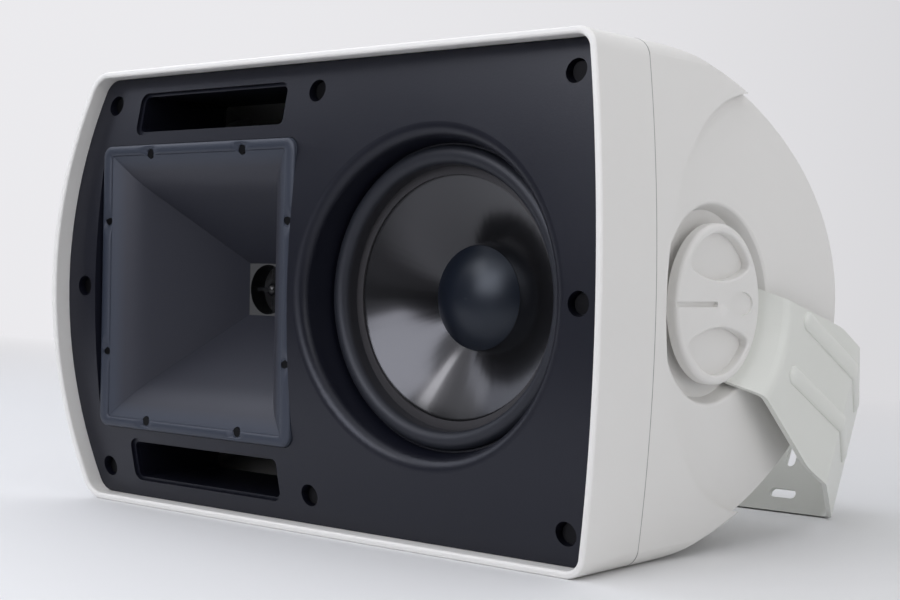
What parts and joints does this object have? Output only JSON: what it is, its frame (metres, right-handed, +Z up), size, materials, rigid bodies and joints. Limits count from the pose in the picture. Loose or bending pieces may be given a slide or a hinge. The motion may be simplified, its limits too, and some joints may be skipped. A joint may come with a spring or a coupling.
{
  "type": "outdoor patio speaker",
  "caption": "Two-way weatherproof speaker lying on its side, square horn beside a round woofer behind an open front, propped by its tilting steel bracket.",
  "frame": {"origin": "middle of the overall box on the floor", "axes": "+X along the length with the woofer at +X, +Y to the back, the baffle faces -Y, +Z up"},
  "size_m": [0.367, 0.2782, 0.226],
  "materials": {
    "white_plastic": "fine texture",
    "knob_plastic": "satin",
    "bracket_paint": "satin powder coat",
    "black_plastic": "satin",
    "horn_plastic": "satin",
    "plug_plastic": "satin",
    "cone": "gloss",
    "rubber": "satin",
    "foam": "matt",
    "black_screws": "black",
    "steel": "plated",
    "frame_steel": "black",
    "ferrite": "matt",
    "film": "bright",
    "former": "satin",
    "copper": "enamelled",
    "spider_cloth": "woven",
    "board": "satin",
    "can": "sleeved",
    "brass": "plated",
    "red_plastic": "gloss",
    "washer": "satin"
  },
  "bodies": {
    "cabinet": {"front_bezel": "white_plastic", "rear_cabinet": "white_plastic", "front_baffle": "black_plastic", "port_duct_upper": "black_plastic", "port_duct_lower": "black_plastic", "baffle_gasket": "foam", "woofer_gasket": "foam", "terminal_gasket": "foam", "baffle_screws": "black_screws", "horn_screws": "black_screws", "woofer_screws": "steel", "board_screws": "steel", "terminal_screws": "steel", "horn": "horn_plastic", "phase_plug": "plug_plastic", "driver_front_plate": "steel", "driver_magnet": "ferrite", "driver_pole": "steel", "driver_back_plate": "steel", "driver_diaphragm": "film", "driver_cover": "black_plastic", "woofer_frame": "frame_steel", "woofer_surround": "rubber", "woofer_spider": "spider_cloth", "woofer_top_plate": "steel", "woofer_magnet": "ferrite", "woofer_yoke": "steel", "crossover_board": "board", "crossover_inductors": "copper", "crossover_capacitors": "can", "terminal_plate": "black_plastic", "terminal_stems": "brass", "terminal_nuts": "brass", "knob_inserts": "brass", "pivot_washers": "washer"},
    "bracket": {"mounting_bracket": "bracket_paint"},
    "knob_right_body": {"knob_right": "knob_plastic", "knob_stud_right": "steel"},
    "knob_left_body": {"knob_left": "knob_plastic", "knob_stud_left": "steel"},
    "cone_body": {"woofer_cone": "cone", "woofer_dust_cap": "cone", "woofer_coil_former": "former", "woofer_winding": "copper"},
    "cap_red_body": {"terminal_cap_red": "red_plastic"},
    "cap_black_body": {"terminal_cap_black": "black_plastic"}
  },
  "joints": [
    {"name": "bracket_tilt", "type": "hinge", "parent": "cabinet", "child": "bracket", "pos_m": [0, -0.04215, 0.113], "axis": [1, 0, 0], "range_deg": [-63.1, 116.9]},
    {"name": "knob_right_turn", "type": "hinge", "parent": "cabinet", "child": "knob_right_body", "pos_m": [0.1681, -0.04215, 0.113], "axis": [1, 0, 0], "continuous": true},
    {"name": "knob_left_turn", "type": "hinge", "parent": "cabinet", "child": "knob_left_body", "pos_m": [-0.1681, -0.04215, 0.113], "axis": [-1, 0, 0], "continuous": true},
    {"name": "cone_travel", "type": "slide", "parent": "cabinet", "child": "cone_body", "axis": [0, -1, 0], "range_m": [-0.004, 0.004], "stiffness_N_per_m": 1200, "deforming": ["woofer_surround", "woofer_spider"]},
    {"name": "cap_red_turn", "type": "hinge", "parent": "cabinet", "child": "cap_red_body", "pos_m": [0.00953, 0.05185, 0.113], "axis": [0, 1, 0], "continuous": true},
    {"name": "cap_black_turn", "type": "hinge", "parent": "cabinet", "child": "cap_black_body", "pos_m": [-0.00953, 0.05185, 0.113], "axis": [0, 1, 0], "continuous": true}
  ]
}
